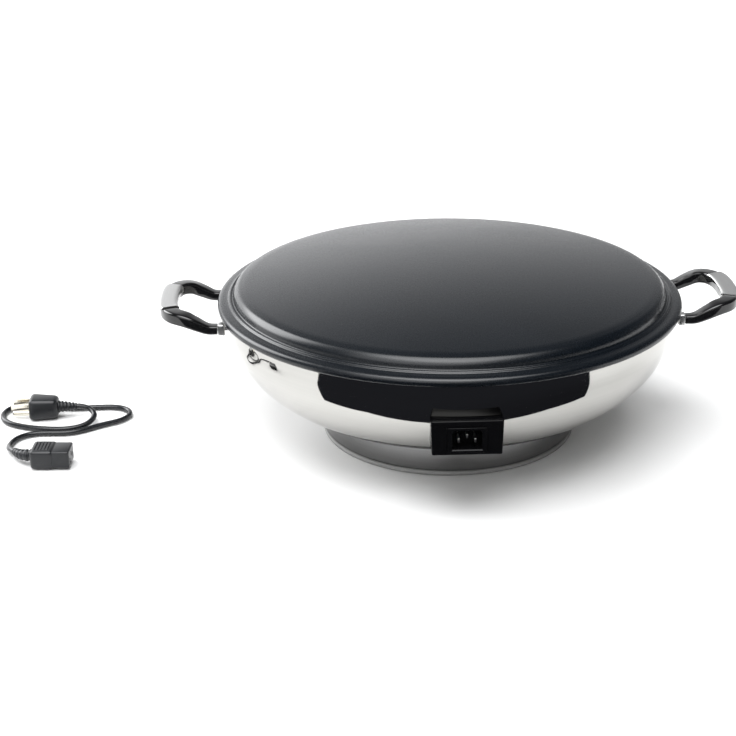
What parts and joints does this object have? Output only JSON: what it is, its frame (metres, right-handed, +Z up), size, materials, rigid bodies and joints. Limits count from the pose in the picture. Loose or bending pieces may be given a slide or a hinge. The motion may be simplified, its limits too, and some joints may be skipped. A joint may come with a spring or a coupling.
{
  "type": "electric griddle",
  "caption": "Round electric griddle: domed black non-stick plate on a polished steel bowl with a foot, black loop handles, a front appliance inlet and a loose power lead.",
  "frame": {"origin": "middle of the foot ring's underside, on the floor plane", "axes": "+Z up along the bowl's axis; -Y is the front, where the appliance inlet is; the handles are at -X and +X; the loose lead lies on the -X side"},
  "size_m": [0.7027, 0.43, 0.159],
  "materials": {
    "non_stick_coating": "cast aluminium with a satin black non-stick coating",
    "polished_steel": "stainless steel, mirror-polished",
    "brushed_steel": "stainless steel, fine satin",
    "aluminised_steel": "aluminised sheet steel",
    "grey_rubber": "grey rubber, matt",
    "gloss_black": "glossy black heat-resistant plastic",
    "lead_moulding": "dark moulded rubber, satin",
    "cord_rubber": "dark rubber sheath, satin",
    "nickelled_brass": "nickel-plated brass",
    "ceramic": "unglazed ceramic",
    "mineral_wool": "mineral wool",
    "element_sheath": "dark oxidised steel tube",
    "wire_brown": "insulated wire, brown",
    "wire_blue": "insulated wire, blue",
    "wire_green_yellow": "insulated wire, green"
  },
  "bodies": {
    "body": {"bottom_cover": "aluminised_steel", "bottom_screw_1": "brushed_steel", "bottom_screw_2": "brushed_steel", "bottom_screw_3": "brushed_steel", "bowl_shell": "polished_steel", "earth_nut": "nickelled_brass", "earth_stud": "nickelled_brass", "element_bush_inner": "ceramic", "element_bush_outer": "ceramic", "element_support_1": "brushed_steel", "element_support_2": "brushed_steel", "element_support_3": "brushed_steel", "foot_band": "polished_steel", "foot_ring": "grey_rubber", "handle_cap_left": "brushed_steel", "handle_cap_right": "brushed_steel", "handle_ferrule_left_front": "brushed_steel", "handle_ferrule_left_rear": "brushed_steel", "handle_ferrule_right_front": "brushed_steel", "handle_ferrule_right_rear": "brushed_steel", "handle_grip_left": "gloss_black", "handle_grip_right": "gloss_black", "handle_screw_left_front": "brushed_steel", "handle_screw_left_rear": "brushed_steel", "handle_screw_right_front": "brushed_steel", "handle_screw_right_rear": "brushed_steel", "heating_element": "element_sheath", "inlet_housing": "gloss_black", "inlet_pin_earth": "nickelled_brass", "inlet_pin_live": "nickelled_brass", "inlet_pin_neutral": "nickelled_brass", "inlet_screw_left": "brushed_steel", "inlet_screw_right": "brushed_steel", "inlet_socket": "gloss_black", "insulation_ring": "mineral_wool", "reflector_dish": "aluminised_steel", "reflector_post_1": "brushed_steel", "reflector_post_2": "brushed_steel", "reflector_post_3": "brushed_steel", "reflector_screw_1": "brushed_steel", "reflector_screw_2": "brushed_steel", "reflector_screw_3": "brushed_steel", "thermal_fuse": "brushed_steel", "thermostat_bracket": "brushed_steel", "thermostat_capsule": "ceramic", "wire_earth": "wire_green_yellow", "wire_fuse_to_thermostat": "wire_brown", "wire_inlet_to_fuse": "wire_brown", "wire_neutral": "wire_blue", "wire_thermostat_to_element": "wire_brown"},
    "plate": {"cooking_plate": "non_stick_coating"},
    "lead": {"lead_cord": "cord_rubber", "lead_connector": "lead_moulding", "lead_connector_relief": "lead_moulding", "lead_plug": "lead_moulding", "lead_plug_relief": "lead_moulding", "plug_pin_earth": "nickelled_brass", "plug_pin_live": "nickelled_brass", "plug_pin_neutral": "nickelled_brass"}
  },
  "joints": [
    {"name": "plate_lift", "type": "slide", "parent": "body", "child": "plate", "axis": [0, 0, 1], "range_m": [0, 0.06]},
    {"name": "lead_lift", "type": "slide", "parent": "body", "child": "lead", "axis": [0, 0, 1], "range_m": [0, 0.1]}
  ]
}
